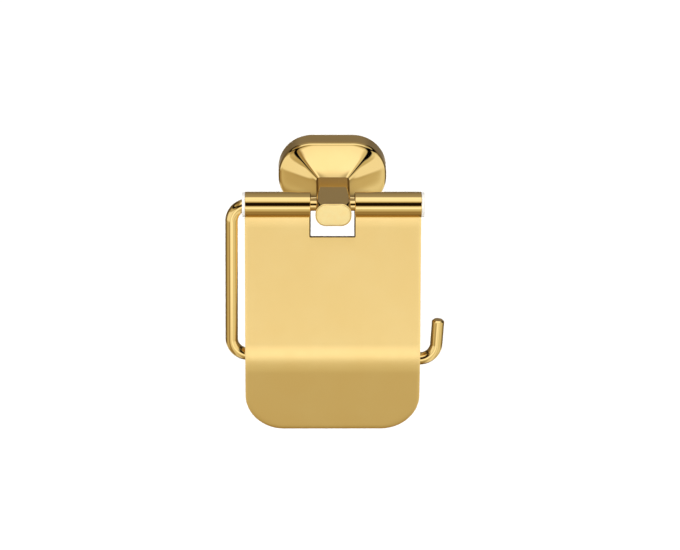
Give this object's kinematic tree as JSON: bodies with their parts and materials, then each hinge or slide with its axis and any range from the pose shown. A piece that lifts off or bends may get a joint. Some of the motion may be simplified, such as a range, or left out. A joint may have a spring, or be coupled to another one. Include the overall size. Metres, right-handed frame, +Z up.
{
  "type": "toilet roll holder",
  "caption": "Wall-mounted toilet roll holder: a flanged post carries a bent rod with an open hook for the roll, and a hinged flap lid hangs in front of it.",
  "frame": {"origin": "centre of the post's back face, on the wall", "axes": "+Y into the wall, square to it; +Z up; +X to the right as seen by a person facing the wall, towards the rod's open hook"},
  "size_m": [0.1411, 0.0769, 0.1772],
  "materials": {
    "polished_gold": "mirror-polished gold-coloured plating",
    "satin_gold": "satin gold-coloured plating",
    "white_nylon": "moulded white nylon",
    "steel": "zinc-plated steel"
  },
  "bodies": {
    "holder": {"wall_bracket": "steel", "post_body": "polished_gold", "bracket_set_screw": "steel", "arm_badge": "satin_gold", "roll_rod": "polished_gold", "rod_set_screw": "steel"},
    "lid": {"lid_plate": "polished_gold", "lid_tube_left": "polished_gold", "lid_tube_right": "polished_gold", "outer_bush_left": "white_nylon", "inner_bush_left": "white_nylon", "inner_bush_right": "white_nylon", "end_cap_bush_right": "white_nylon"}
  },
  "joints": [
    {"name": "lid_hinge", "type": "hinge", "parent": "holder", "child": "lid", "pos_m": [0, -0.06, 0], "axis": [-1, 0, 0], "range_deg": [0, 197]}
  ]
}
